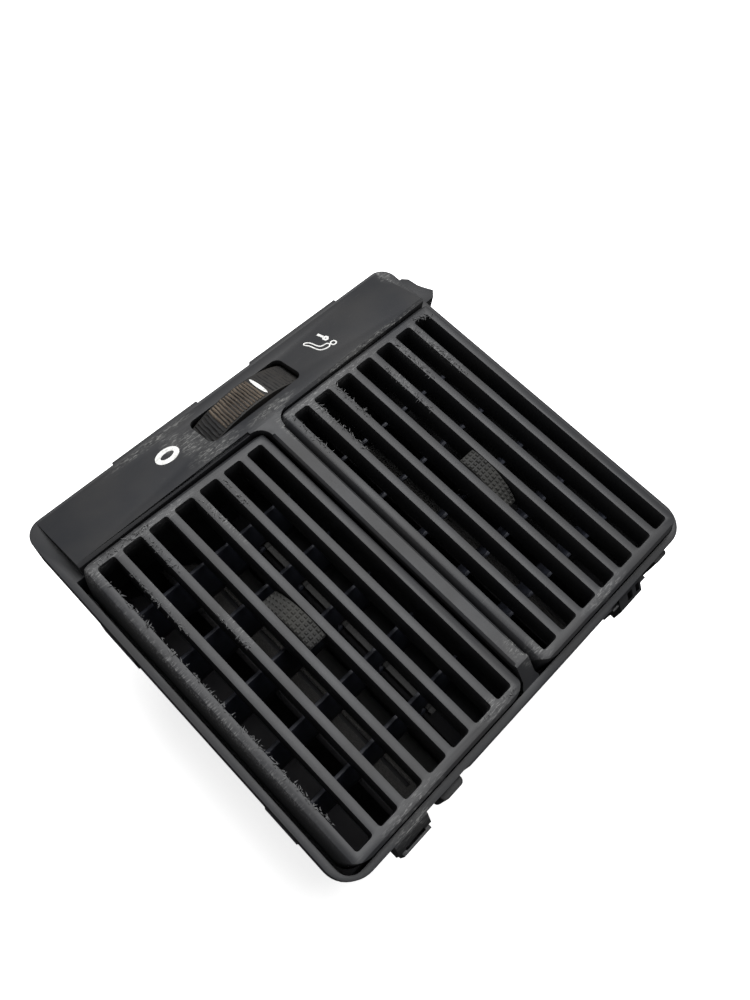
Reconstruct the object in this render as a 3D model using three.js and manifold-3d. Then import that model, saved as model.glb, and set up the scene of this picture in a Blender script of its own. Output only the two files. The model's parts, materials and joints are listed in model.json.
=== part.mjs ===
// Twin centre air vent for a car dashboard.
//
// The vent lies on its back: X runs along the control band, Y points across the vent
// towards that band, and Z points out of the face. Z = 0 is the rear rim of the two
// duct collars, and X = Y = 0 is the middle of the bezel's outline. Millimetres.
//
// A bezel carries two tilting louvre frames. Each frame holds five cross vanes, joined by
// a link bar and steered by a knurled knob. A thumbwheel in the band turns two shut-off
// flaps in the duct collars through one T-shaped link.

import * as THREE from 'three';
import { mergeVertices } from 'three/addons/utils/BufferGeometryUtils.js';
import Module from 'manifold-3d';

const wasm = await Module();
wasm.setup();

// ---------------------------------------------------------------- driving dimensions

const GAP = 0.3;                    // running gap between neighbouring parts

const BEZEL = {
  width: 155, height: 140, corner: 6, lowCorner: 9, innerLowCorner: 5, wall: 2.2, rimZ: 80,
  skirt: 12,
};
const FACE = { rise: 8, barHalf: 2.6, barThick: 3.2, footY: -61.5, footFlare: 1.0, corner: 5 };
const BAND = { innerY: 46.2, halfWidth: 72.5, plate: 2.3 };

const LOUVRE = {
  x: 38.3, tiltZ: 76, faceUp: 10.8, radius: 35.9, wall: 1.9, wallDown: 14.8,
  y0: -67.2, y1: 45.6, slotY0: -63.8, slotY1: 42.4, slotHalf: 31.3,
  slats: 6, slatPitch: 9.55, slatWidth: 2.6, slatDepth: 9, endWall: 2.2,
  corner: 5, lowCorner: 7.5,
};
const TILT_STUB = 1.7;              // radius of a louvre frame's pivot stubs
const BUSH = { inner: 2.0, outer: 2.6 };

const VANE = {
  count: 5, pitch: 18.6, midY: -10.2, down: 10, front: 6.5, rear: 13, thick: 1.6,
  halfFront: 31.4, halfRear: 29.6, stub: 1.3, linkX: 18, pinDown: 10, pin: 1.0,
};
const VANE_LINK = { thick: 2, height: 3, end: 3, clearance: 0.35 };
const KNOB = { radius: 21.2, width: 6.2, halfAngle: 31 };

const WHEEL = {
  x: 1.3, z: 53.7, y0: 53.2, y1: 63.8, radius0: 34, radius1: 31.5, rim: 3,
  halfAngle: 67, hub: 5, web: 2, sides: 84,
};
const WINDOW = { half: 19.3, y0: 52.3, y1: 65, corner: 2.5 };
const AXLE = 1.6;                   // radius of the thumbwheel's steel axle
const CRANK = { radius: 14, pin: 1.4, boss: 3.2 };

const DUCT = { x: 39, half: 20, wall: 1.8, straightTop: 36, flareTop: 50 };
const HOUSING = {
  half: 76, y0: -69.6, y1: 48.2, top: 67.7, corner: 7, innerCorner: 3, partition: 1.2,
  partitionTop: 84.4,
};
const BAY = { half: 46, y1: 67.4, z0: 44 };
const FLAP = { z: 27, half: 20.4, thick: 1.8, shaft: 2.0, tube: 2.6 };
const LEVER_Y = [48.5, 50.6];
const LINK_Y = [50.9, 52.9];
const GASKET = { z0: 2.6, z1: 8.6, thick: 2.6 };
const BRIDGE = { half: 3, thick: 2.2 };

// How the moving parts stand at rest, in degrees from the middle of their travel.
const REST = {
  leftTilt: 2, rightTilt: 1.5, leftVane: -12.8, rightVane: 16.4, wheel: 9.5,
};
const FLAP_MIDDLE = 42;             // lean of the flaps when the wheel's mark is at the top

const radians = THREE.MathUtils.degToRad;

// ---------------------------------------------------------------- solid helpers

function toSolid(geometry) {
  const bare = geometry.clone();
  bare.deleteAttribute('normal');
  bare.deleteAttribute('uv');
  const merged = mergeVertices(bare, 1e-4);
  return new wasm.Manifold(new wasm.Mesh({
    numProp: 3,
    vertProperties: new Float32Array(merged.attributes.position.array),
    triVerts: new Uint32Array(merged.index.array),
  }));
}

function toGeometry(solid) {
  const data = solid.getMesh();
  const geometry = new THREE.BufferGeometry();
  geometry.setAttribute('position', new THREE.BufferAttribute(data.vertProperties, 3));
  geometry.setIndex(new THREE.BufferAttribute(data.triVerts, 1));
  geometry.computeVertexNormals();
  return geometry;
}

const join = (...solids) => solids.reduce((sum, solid) => sum.add(solid));
const cut = (solid, ...tools) => tools.reduce((rest, tool) => rest.subtract(tool), solid);

function shapeOf(points) {
  return new THREE.Shape(points.map(([a, b]) => new THREE.Vector2(a, b)));
}

function extrude(shape, depth, curveSegments = 5) {
  const asShape = shape instanceof THREE.Shape ? shape : shapeOf(shape);
  return new THREE.ExtrudeGeometry(asShape, { depth, bevelEnabled: false, curveSegments });
}

// A prism along Z of an outline in X and Y.
function prismZ(shape, z0, z1, curveSegments) {
  return toSolid(extrude(shape, z1 - z0, curveSegments).translate(0, 0, z0));
}

// A prism along Y of an outline in X and Z.
function prismY(shape, y0, y1) {
  return toSolid(extrude(shape, y1 - y0).rotateX(Math.PI / 2).translate(0, y1, 0));
}

// A prism along X of an outline in Y and Z.
function prismX(shape, x0, x1) {
  const turn = new THREE.Matrix4().makeBasis(
    new THREE.Vector3(0, 1, 0), new THREE.Vector3(0, 0, 1), new THREE.Vector3(1, 0, 0));
  return toSolid(extrude(shape, x1 - x0).applyMatrix4(turn).translate(x0, 0, 0));
}

function box([x0, y0, z0], [x1, y1, z1]) {
  const block = new THREE.BoxGeometry(x1 - x0, y1 - y0, z1 - z0);
  return toSolid(block.translate((x0 + x1) / 2, (y0 + y1) / 2, (z0 + z1) / 2));
}

function rodY(x, z, radius, y0, y1, sides = 20) {
  const rod = new THREE.CylinderGeometry(radius, radius, y1 - y0, sides);
  return toSolid(rod.translate(x, (y0 + y1) / 2, z));
}

function rodX(y, z, radius, x0, x1, sides = 16) {
  const rod = new THREE.CylinderGeometry(radius, radius, x1 - x0, sides).rotateZ(Math.PI / 2);
  return toSolid(rod.translate((x0 + x1) / 2, y, z));
}

// A rectangle with round corners; the two lower ones may have their own radius.
function roundedRect(x0, y0, x1, y1, r, low = r) {
  const shape = new THREE.Shape();
  shape.absarc(x1 - r, y1 - r, r, 0, Math.PI / 2);
  shape.absarc(x0 + r, y1 - r, r, Math.PI / 2, Math.PI);
  shape.absarc(x0 + low, y0 + low, low, Math.PI, 1.5 * Math.PI);
  shape.absarc(x1 - low, y0 + low, low, 1.5 * Math.PI, 2 * Math.PI);
  return shape;
}

// Points of an arc, with angles in degrees from the first axis.
function arcPoints(radius, from, to, steps, cx = 0, cy = 0) {
  const points = [];
  for (let i = 0; i <= steps; i += 1) {
    const a = radians(from + (to - from) * i / steps);
    points.push([cx + radius * Math.cos(a), cy + radius * Math.sin(a)]);
  }
  return points;
}

const mirrored = (points) => points.map(([a, b]) => [-a, b]).reverse();

// ---------------------------------------------------------------- materials

function plastic(color, roughness = 0.55) {
  return new THREE.MeshStandardMaterial({ color, roughness, metalness: 0 });
}

const MATERIAL = {
  bezel: () => plastic(0x333436, 0.5),
  louvre: () => plastic(0x3b3c3f, 0.55),
  housing: () => plastic(0x242526, 0.6),
  vane: () => plastic(0x1f2022, 0.55),
  knob: () => plastic(0x3a3a36, 0.8),
  wheel: () => plastic(0x3c3835, 0.8),
  link: () => plastic(0xb9b6ab, 0.5),
  bush: () => plastic(0x8c887e, 0.9),
  foam: () => plastic(0x2b2a29, 0.95),
  steel: () => new THREE.MeshStandardMaterial({ color: 0x9a9ca0, roughness: 0.35, metalness: 1 }),
};

function node(name, solid, material) {
  const mesh = new THREE.Mesh(toGeometry(solid), material);
  mesh.name = name;
  return mesh;
}

// ---------------------------------------------------------------- bezel

const halfW = BEZEL.width / 2;
const halfH = BEZEL.height / 2;
const innerX = halfW - BEZEL.wall;
const innerY = halfH - BEZEL.wall;
const skirtZ = BEZEL.rimZ - BEZEL.skirt;
const faceZ = BEZEL.rimZ + FACE.rise;

// Height of the sloping band above a given Y.
const bandSlope = FACE.rise / (halfH - BAND.innerY);
const bandZ = (y) => BEZEL.rimZ + bandSlope * (halfH - y);

function bezelFrame() {
  const { corner, lowCorner, innerLowCorner, wall } = BEZEL;
  const outer = roundedRect(-halfW, -halfH, halfW, halfH, corner, lowCorner);
  const inner = roundedRect(-innerX, -innerY, innerX, innerY, corner - wall, innerLowCorner);
  return cut(prismZ(outer, skirtZ, BEZEL.rimZ), prismZ(inner, skirtZ - 1, BEZEL.rimZ + 1));
}

// The sloping band: a hollow wedge with closed ends, on a flat ledge at each side.
function bezelBand() {
  const { innerY: y0, halfWidth, plate } = BAND;
  const y1 = halfH - 1;
  const webY = y0 + BEZEL.wall;
  const ledge = box([-innerX - 0.5, y0, skirtZ], [innerX + 0.5, innerY + 0.5, BEZEL.rimZ]);
  const wedge = prismX([
    [y0, skirtZ], [y1, skirtZ], [y1, bandZ(y1)], [y0 + 1.2, bandZ(y0 + 1.2)], [y0, faceZ - 1.1],
  ], -halfWidth, halfWidth);
  const under = (y) => bandZ(y) - plate;
  const hollow = prismX([
    [webY, skirtZ - 1], [innerY, skirtZ - 1], [innerY, under(innerY)], [webY, under(webY)],
  ], -halfWidth + 2, halfWidth - 2);
  const ledgeHollow = box(
    [-innerX, webY, skirtZ - 1], [innerX, innerY, BEZEL.rimZ - plate]);
  let ribs = null;
  for (const x of [-62, -50, 50, 62]) {
    const rib = prismX([
      [webY - 0.5, skirtZ + 4], [innerY + 0.5, skirtZ + 4],
      [innerY + 0.5, bandZ(innerY) - 1], [webY - 0.5, bandZ(webY) - 1],
    ], x - 0.8, x + 0.8);
    ribs = ribs ? join(ribs, rib) : rib;
  }
  return join(cut(join(ledge, wedge), hollow, ledgeHollow), ribs);
}

// The bar between the two louvres, with its sloping foot and the fillets into the band.
function bezelBar() {
  const { barHalf: b, barThick, footY, footFlare, corner: r } = FACE;
  const under = faceZ - barThick;
  const bar = prismY([
    [-b, under], [b, under], [b, faceZ - 0.8], [b - 0.8, faceZ], [0.8 - b, faceZ], [-b, faceZ - 0.8],
  ], footY, BAND.innerY + r);
  const foot = prismZ([
    [-b, footY + 1], [-b, footY - 4.2], [-b - footFlare, -innerY + 0.6],
    [-b - footFlare, -innerY - 0.5], [b + footFlare, -innerY - 0.5],
    [b + footFlare, -innerY + 0.6], [b, footY - 4.2], [b, footY + 1],
  ], BEZEL.rimZ - 2, faceZ).intersect(prismX([
    [footY + 1, under], [footY + 1, faceZ], [footY, faceZ], [-innerY, BEZEL.rimZ],
    [-innerY - 0.5, BEZEL.rimZ], [-innerY - 0.5, BEZEL.rimZ - 2],
    [footY - 4.7, BEZEL.rimZ - 1], [footY, under],
  ], -8, 8));
  const y = BAND.innerY;
  const arc = arcPoints(r, 180, 90, 6, b + r, y - r);
  const fillet = [[b - 0.9, y - r], ...arc, [b + r, y + r], [b - 0.9, y + r]];
  const fillets = join(
    prismZ([...fillet].reverse(), under, faceZ),
    prismZ([...mirrored(fillet)].reverse(), under, faceZ));
  // Past the band's inner edge they run on just under its slope, so no step shows.
  const followsBand = prismX([
    [footY - 1, under], [y + r, under], [y + r, bandZ(y + r) - 0.05], [y, faceZ],
    [footY - 1, faceZ],
  ], -2 * r, 2 * r);
  return join(join(bar, fillets).intersect(followsBand), foot);
}

// Everything that stands out of the skirt: clips along the foot, the hook, pads and rails.
function bezelClips() {
  const boxClip = cut(
    join(
      box([-59.4, -74.1, 63], [-48.6, -71.4, 73.5]),
      prismX([[-69.9, 66], [-69.9, 79.2], [-70.4, 79.2], [-73, 73.5], [-73, 66]], -60.4, -47.6)),
    box([-57.8, -73.4, 64.2], [-50.2, -72.3, 74.5]));
  const blockClip = cut(
    join(
      box([38.2, -71.6, 66], [55, -69.9, 75]),
      prismX([[-69.9, 66], [-69.9, 78], [-73.5, 72.5], [-73.5, 66]], 41.1, 52.1)),
    box([45.3, -72.7, 65], [47.7, -70.8, 80]),
    box([49.5, -72.7, 65], [51.3, -70.8, 80]));
  const lowerRail = box([-30, -70.5, 68.5], [36, -69.5, 79]);
  const hook = prismZ([
    [halfW - 1, 49.8], [84.2, 50], [86.4, 52.2], [84.6, 55.4], [83.6, 57.6], [83, 61.6],
    [81.2, 63.4], [halfW - 1, 63.8],
  ], 70, 76);
  const hookRib = box([halfW - 0.5, 56, 76 - 0.2], [halfW + 0.9, 64.5, 78.4]);
  const pads = join(
    box([-halfW - 0.4, 17, 69], [-halfW + 1, 33, 77]),
    box([-halfW - 0.4, -51, 69], [-halfW + 1, -38, 77]));
  const rails = join(
    box([-43.5, halfH - 1, 70], [-9.5, halfH + 1, 79.6]),
    box([13.5, halfH - 1, 70], [53.5, halfH + 1, 79.6]));
  return join(boxClip, blockClip, lowerRail, hook, hookRib, pads, rails);
}

function bezel() {
  const wheelWindow = prismZ(
    roundedRect(
      WHEEL.x - WINDOW.half, WINDOW.y0, WHEEL.x + WINDOW.half, WINDOW.y1, WINDOW.corner),
    skirtZ - 2, faceZ + 2);
  const bushHoles = [-LOUVRE.x, LOUVRE.x].map((x) => join(
    rodY(x, LOUVRE.tiltZ, BUSH.outer + GAP, -halfH - 1, -innerY + 1),
    rodY(x, LOUVRE.tiltZ, BUSH.outer + GAP, BAND.innerY - 1, BAND.innerY + BEZEL.wall + 1)));
  const bodyShell = cut(join(bezelFrame(), bezelBand()), wheelWindow);
  return cut(join(bodyShell, bezelBar(), bezelClips()), ...bushHoles);
}

// ---------------------------------------------------------------- rear housing

// The housing's outline from above, drawn in by an inset: its two lower corners are round.
function housingPlan(inset, corner) {
  const { half, y0, y1 } = HOUSING;
  return prismZ(roundedRect(
    inset - half, y0 + inset, half - inset, y1 + 2 * corner, corner), -2, 70);
}

function ductChannel(side) {
  const { x, half, straightTop, flareTop } = DUCT;
  const points = [
    [HOUSING.partition, 69], [HOUSING.partition, flareTop], [x - half, straightTop],
    [x - half, -1], [x + half, -1], [x + half, straightTop],
    [HOUSING.half - DUCT.wall, flareTop], [HOUSING.half - DUCT.wall, 69],
  ];
  const channel = prismY(side > 0 ? points : mirrored(points), -innerY, BAND.innerY);
  return channel.intersect(housingPlan(DUCT.wall, HOUSING.innerCorner));
}

function rearHousing() {
  const { half, y0, y1, top, partition, partitionTop } = HOUSING;
  const w = DUCT.wall;
  const outerHalf = [
    [0, DUCT.flareTop - 1.5], [DUCT.x - DUCT.half - w, DUCT.straightTop - 0.9],
    [DUCT.x - DUCT.half - w, 0], [DUCT.x + DUCT.half + w, 0],
    [DUCT.x + DUCT.half + w, DUCT.straightTop - 0.7], [half, DUCT.flareTop - 0.7], [half, top],
  ];
  const shell = prismY([...mirrored(outerHalf).slice(0, -1), ...outerHalf], y0, y1);
  const divider = prismX([
    [-innerY + GAP, DUCT.flareTop], [BAND.innerY - GAP, DUCT.flareTop],
    [BAND.innerY - GAP, partitionTop], [FACE.footY + GAP, partitionTop],
    [FACE.footY + GAP, BEZEL.rimZ - 2], [-innerY + GAP, BEZEL.rimZ - 2],
  ], -partition, partition);
  const bay = cut(
    box([-BAY.half, y1 - 1, BAY.z0], [BAY.half, BAY.y1, top]),
    box([w - BAY.half, y1 - 2, BAY.z0 - 1], [BAY.half - w, BAY.y1 - w, top + 1]));
  const bridgeX = DUCT.x - DUCT.half - 0.5;
  const bridge = box([-bridgeX, -BRIDGE.half, 0], [bridgeX, BRIDGE.half, BRIDGE.thick]);
  const drilled = [
    rodY(WHEEL.x, WHEEL.z, AXLE + GAP, y1 - 3, BAY.y1 + 1),
    rodY(-DUCT.x, FLAP.z, FLAP.shaft + GAP, y0 - 1, y1 + 1),
    rodY(DUCT.x, FLAP.z, FLAP.shaft + GAP, y0 - 1, y1 + 1),
  ];
  const walls = cut(shell.intersect(housingPlan(0, HOUSING.corner)), ductChannel(-1), ductChannel(1));
  return cut(join(walls, divider, bay, bridge, ...housingTongues()), ...drilled);
}

// Snap tongues that reach up outside the bezel's skirt.
function housingTongues() {
  const foot = (x0, x1, thick) => {
    const y0 = -halfH - GAP - thick;
    const outline = roundedRect(x0, y0, x1, -halfH - GAP + 3, 0.4, Math.min(thick, 1.6));
    const tongue = prismZ(outline, 60, 74).intersect(box([x0, y0, 59], [x1, -halfH - GAP, 75]));
    return join(tongue, box([x0 + 1.6, y0 + 1, 60], [x1 - 1.6, HOUSING.y0 + 0.5, 63]));
  };
  const head = (x0, x1) => join(
    box([x0, halfH + GAP, 58], [x1, halfH + GAP + 1.6, 69.6]),
    box([x0, BAY.y1 - 0.5, 58], [x1, halfH + GAP + 1.6, 61]));
  return [foot(-41.2, -32.9, 2.1), foot(62, 68, 1.2), head(-34, -24), head(28, 38)];
}

// ---------------------------------------------------------------- louvre frames

// Frame in its own place: the tilt axis is the line X = Z = 0.
function louvreFrame() {
  const L = LOUVRE;
  const lowAngle = -Math.asin(L.wallDown / L.radius) * 180 / Math.PI;
  const topAngle = Math.asin((L.faceUp - 1) / L.radius) * 180 / Math.PI;
  const rightSide = [
    ...arcPoints(L.radius, lowAngle, topAngle, 10), [L.slotHalf + 2.6, L.faceUp - 0.2],
    [L.slotHalf + 2, L.faceUp],
  ];
  const drum = prismY([...rightSide, ...mirrored(rightSide)], L.y0, L.y1);
  const plan = prismZ(
    roundedRect(-L.radius, L.y0, L.radius, L.y1, L.corner, L.lowCorner),
    -L.radius, L.radius);
  const sideView = prismX([
    [L.y0, -L.radius], [L.y1, -L.radius], [L.y1, L.faceUp - 1.2], [L.y1 - 1.2, L.faceUp],
    [L.y0 + 0.9, L.faceUp], [L.y0, L.faceUp - 1.1],
  ], -L.radius - 1, L.radius + 1);
  const block = drum.intersect(plan).intersect(sideView);

  const slatFoot = L.faceUp - L.slatDepth;
  const inside = L.radius - L.wall;
  const footAngle = Math.asin(slatFoot / inside) * 180 / Math.PI;
  const cavitySide = [
    [inside * Math.cos(radians(lowAngle - 6)), -L.radius],
    ...arcPoints(inside, lowAngle - 6, footAngle, 8),
  ];
  const cavity = prismY(
    [...cavitySide, ...mirrored(cavitySide)], L.y0 + L.endWall, L.y1 - L.endWall);

  const slots = [];
  for (let i = 0; i <= L.slats; i += 1) {
    const left = i === 0 ? -L.slotHalf : slatX(i - 1) + L.slatWidth / 2;
    const right = i === L.slats ? L.slotHalf : slatX(i) - L.slatWidth / 2;
    slots.push(prismZ(
      roundedRect(left, L.slotY0, right, L.slotY1, 1), slatFoot - 1, L.faceUp + 1, 2));
  }
  const pivotHoles = vaneYs().map(
    (y) => rodX(y, -VANE.down, VANE.stub + GAP, -L.radius - 1, L.radius + 1, 10));
  const stubs = [
    rodY(0, 0, TILT_STUB, L.y0 - 2.4, L.y0 + 1, 16), rodY(0, 0, TILT_STUB, L.y1 - 1, L.y1 + 2.4, 16),
  ];
  return join(cut(block, cavity, ...slots, ...pivotHoles), ...stubs);
}

function slatX(i) {
  return (i - (LOUVRE.slats - 1) / 2) * LOUVRE.slatPitch;
}

function vaneYs() {
  return Array.from({ length: VANE.count },
    (_, i) => VANE.midY + (i - (VANE.count - 1) / 2) * VANE.pitch);
}

// ---------------------------------------------------------------- cross vanes and knobs

// A vane about its own pivot axis, the line Y = Z = 0, with its front edge up.
function vane() {
  const V = VANE;
  const half = V.thick / 2;
  const outline = [
    [-V.halfFront, V.front], [-V.halfFront, -1.5], [-V.halfRear, -3], [-V.halfRear, -V.rear],
    [V.halfRear, -V.rear], [V.halfRear, -3], [V.halfFront, -1.5], [V.halfFront, V.front],
  ];
  const blade = prismY(outline, -half, half);
  const section = prismX([
    [-0.5, V.front], [-half, V.front - 1], [-half, -V.rear + 4], [-0.35, -V.rear],
    [0.35, -V.rear], [half, -V.rear + 4], [half, V.front - 1], [0.5, V.front],
  ], -V.halfFront - 1, V.halfFront + 1);
  const notch = box([V.linkX - 3, -3, -V.rear - 1], [V.linkX + 3, 3, -V.pinDown + 4]);
  const linkPin = rodX(0, -V.pinDown, V.pin, V.linkX - 3.5, V.linkX + 3.5, 10);
  const stubEnd = V.halfFront + 2.4;
  const pivots = [
    rodX(0, 0, V.stub, V.halfFront - 3, stubEnd, 10),
    rodX(0, 0, V.stub, -stubEnd, 3 - V.halfFront, 10),
  ];
  return join(cut(blade.intersect(section), notch), linkPin, ...pivots);
}

// A link bar about the middle vane's link pin.
function vaneLink() {
  const { thick, height, end, clearance } = VANE_LINK;
  const reach = VANE.pitch * (VANE.count - 1) / 2 + end;
  const bar = box([-thick / 2, -reach, -height / 2], [thick / 2, reach, height / 2]);
  const holes = vaneYs().map(
    (y) => rodX(y - VANE.midY, 0, VANE.pin + clearance, -2, 2, 8));
  const bosses = vaneYs().map(
    (y) => rodX(y - VANE.midY, 0, height / 2 + 0.6, -thick / 2, thick / 2, 10));
  return cut(join(bar, ...bosses), ...holes);
}

// A steering knob about the vane's pivot axis: a knurled crown on a fork over the vane.
function vaneKnob() {
  const { radius, width, halfAngle } = KNOB;
  const crown = arcPoints(radius, 90 - halfAngle, 90 + halfAngle, 16);
  const fork = VANE.thick / 2 + GAP;
  const outline = [
    ...crown, [-3, 9], [-3, 3], [-fork, 3], [-fork, VANE.front + GAP],
    [fork, VANE.front + GAP], [fork, 3], [3, 3], [3, 9],
  ];
  return prismX(outline, -width / 2, width / 2);
}

// ---------------------------------------------------------------- thumbwheel and shut-off

// Thumbwheel about its own axle, with its mark straight up.
function thumbwheel() {
  const W = WHEEL;
  const length = W.y1 - W.y0;
  const cone = (r0, r1, y0, y1) => toSolid(
    new THREE.CylinderGeometry(r1, r0, y1 - y0, W.sides).translate(0, (y0 + y1) / 2, 0));
  const slope = (W.radius1 - W.radius0) / length;
  const rimBand = cut(
    cone(W.radius0, W.radius1, W.y0, W.y1),
    cone(W.radius0 - W.rim + slope * W.web, W.radius1 - W.rim, W.y0 + W.web, W.y1 + 0.01));
  const sector = prismY([
    [0, 2], ...arcPoints(W.radius0 + 4, 90 - W.halfAngle, 90 + W.halfAngle, 12),
  ], W.y0 - 1, W.y1 + 1);
  const hub = rodY(0, 0, W.hub, W.y0, W.y1, 28);
  const arm = prismY([
    [-CRANK.boss, 0], [-CRANK.boss, -CRANK.radius], [CRANK.boss, -CRANK.radius], [CRANK.boss, 0],
  ], W.y0, W.y0 + W.web);
  const crank = join(
    arm, rodY(0, -CRANK.radius, CRANK.boss, W.y0, W.y0 + W.web),
    rodY(0, -CRANK.radius, CRANK.pin, LINK_Y[0] - 0.7, W.y0 + 0.5, 16));
  const wheelBody = join(rimBand.intersect(sector), hub, crank);
  return cut(wheelBody, rodY(0, 0, AXLE + GAP, W.y0 - 1, W.y1 + 1));
}

function thumbwheelAxle() {
  const shaft = rodY(0, 0, AXLE, HOUSING.y1 - 1.6, BAY.y1 + 0.8, 20);
  return join(shaft, rodY(0, 0, AXLE + 0.9, BAY.y1 + GAP, BAY.y1 + 1.3, 20));
}

// The link about the thumbwheel's crank pin.
function shutoffLink() {
  const fall = FLAP.z - WHEEL.z;
  const ends = [-DUCT.x - WHEEL.x, DUCT.x - WHEEL.x];
  const y = LINK_Y;
  const bar = box([ends[0], y[0], fall - 2.4], [ends[1], y[1], fall + 2.4]);
  const arm = box([-2.4, y[0], fall], [2.4, y[1], 0]);
  const gussets = prismY(
    [[-9, fall + 2], [9, fall + 2], [2, fall + 9], [-2, fall + 9]], y[0], y[1]);
  const pins = [[0, 0], [ends[0], fall], [ends[1], fall]];
  const bosses = pins.map(([x, z]) => rodY(x, z, CRANK.boss, y[0], y[1]));
  const holes = pins.map(([x, z]) => rodY(x, z, CRANK.pin + GAP, y[0] - 1, y[1] + 1, 16));
  return cut(join(bar, arm, gussets, ...bosses), ...holes);
}

// A flap about its shaft, standing upright.
function shutoffFlap() {
  const half = FLAP.thick / 2;
  const y0 = -innerY + 0.4;
  const y1 = BAND.innerY - 0.4;
  const plate = box([-half, y0, -FLAP.half], [half, y1, FLAP.half]);
  const tube = rodY(0, 0, FLAP.tube, y0 + 5, y1 - 5);
  const shaft = [
    rodY(0, 0, FLAP.shaft, HOUSING.y0 + 0.2, y0 + 0.5), rodY(0, 0, FLAP.shaft, y1 - 0.5, LEVER_Y[1]),
  ];
  return join(plate, tube, ...shaft);
}

function flapSeal() {
  const x0 = FLAP.thick / 2 + GAP;
  const half = FLAP.half - 0.4;
  const y0 = -innerY + 1.2;
  const y1 = BAND.innerY - 1.2;
  const pad = box([x0, y0, -half], [x0 + 1.2, y1, half]);
  const slot = box([x0 - 1, y0 + 4, -FLAP.tube - GAP], [x0 + 3, y1 - 4, FLAP.tube + GAP]);
  return cut(pad, slot);
}

function flapLever() {
  const [y0, y1] = LEVER_Y;
  const arm = prismY([
    [-3.6, 0], [-CRANK.boss, -CRANK.radius], [CRANK.boss, -CRANK.radius], [3.6, 0],
  ], y0, y1);
  const lever = join(
    arm, rodY(0, 0, 4.2, y0, y1, 24), rodY(0, -CRANK.radius, CRANK.boss, y0, y1),
    rodY(0, -CRANK.radius, CRANK.pin, y1 - 0.5, LINK_Y[1] + 0.6, 16));
  return cut(lever, rodY(0, 0, FLAP.shaft + GAP, y0 - 1, y1 + 1));
}

// ---------------------------------------------------------------- bushes and gaskets

function tiltBush() {
  return cut(rodY(0, 0, BUSH.outer, 0, 1.9, 16), rodY(0, 0, BUSH.inner, -1, 3, 16));
}

// A foam band around one duct collar.
function ductGasket() {
  const inner = DUCT.half + DUCT.wall + GAP;
  const outer = inner + GASKET.thick;
  const y0 = HOUSING.y0 - GAP;
  const y1 = HOUSING.y1 + GAP;
  return cut(
    prismZ(roundedRect(-outer, y0 - GASKET.thick, outer, y1 + GASKET.thick, 1.5),
      GASKET.z0, GASKET.z1),
    box([-inner, y0, GASKET.z0 - 1], [inner, y1, GASKET.z1 + 1]));
}

// ---------------------------------------------------------------- assembly

const group = new THREE.Group();

function place(mesh, x, y, z, turnY = 0) {
  mesh.position.set(x, y, z);
  mesh.rotation.y = radians(turnY);
  group.add(mesh);
}

place(node('bezel', bezel(), MATERIAL.bezel()), 0, 0, 0);
place(node('rear_housing', rearHousing(), MATERIAL.housing()), 0, 0, 0);

function addLouvre(side, sign, tilt, vaneTurn) {
  const frame = new THREE.Group();
  frame.position.set(sign * LOUVRE.x, 0, LOUVRE.tiltZ);
  frame.rotation.y = radians(tilt);
  group.add(frame);
  frame.add(node(`${side}_louvre_frame`, louvreFrame(), MATERIAL.louvre()));

  vaneYs().forEach((y, i) => {
    const mesh = node(`${side}_vane_${i + 1}`, vane(), MATERIAL.vane());
    mesh.position.set(0, y, -VANE.down);
    mesh.rotation.x = radians(vaneTurn);
    frame.add(mesh);
  });

  const knob = node(`${side}_vane_knob`, vaneKnob(), MATERIAL.knob());
  knob.position.set(0, VANE.midY, -VANE.down);
  knob.rotation.x = radians(vaneTurn);
  frame.add(knob);

  const link = node(`${side}_vane_link`, vaneLink(), MATERIAL.link());
  link.position.set(
    VANE.linkX,
    VANE.midY + VANE.pinDown * Math.sin(radians(vaneTurn)),
    -VANE.down - VANE.pinDown * Math.cos(radians(vaneTurn)));
  frame.add(link);

  const x = sign * LOUVRE.x;
  place(node(`${side}_lower_bush`, tiltBush(), MATERIAL.bush()), x, -halfH + 0.15, LOUVRE.tiltZ);
  place(node(`${side}_upper_bush`, tiltBush(), MATERIAL.bush()), x, BAND.innerY + 0.15, LOUVRE.tiltZ);
}

addLouvre('left', -1, REST.leftTilt, REST.leftVane);
addLouvre('right', 1, REST.rightTilt, REST.rightVane);

place(node('shutoff_thumbwheel', thumbwheel(), MATERIAL.wheel()), WHEEL.x, 0, WHEEL.z, REST.wheel);
place(node('thumbwheel_axle', thumbwheelAxle(), MATERIAL.steel()), WHEEL.x, 0, WHEEL.z);
place(
  node('shutoff_link', shutoffLink(), MATERIAL.link()),
  WHEEL.x - CRANK.radius * Math.sin(radians(REST.wheel)), 0,
  WHEEL.z - CRANK.radius * Math.cos(radians(REST.wheel)));

for (const [side, sign] of [['left', -1], ['right', 1]]) {
  const x = sign * DUCT.x;
  const lean = REST.wheel - FLAP_MIDDLE;
  place(node(`${side}_shutoff_flap`, shutoffFlap(), MATERIAL.vane()), x, 0, FLAP.z, lean);
  place(node(`${side}_flap_seal`, flapSeal(), MATERIAL.foam()), x, 0, FLAP.z, lean);
  place(node(`${side}_flap_lever`, flapLever(), MATERIAL.link()), x, 0, FLAP.z, REST.wheel);
  place(node(`${side}_duct_gasket`, ductGasket(), MATERIAL.foam()), x, 0, 0);
}

export default group;
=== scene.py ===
import json
import math

import bmesh
import bpy
from mathutils import Matrix, Quaternion, Vector


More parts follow.
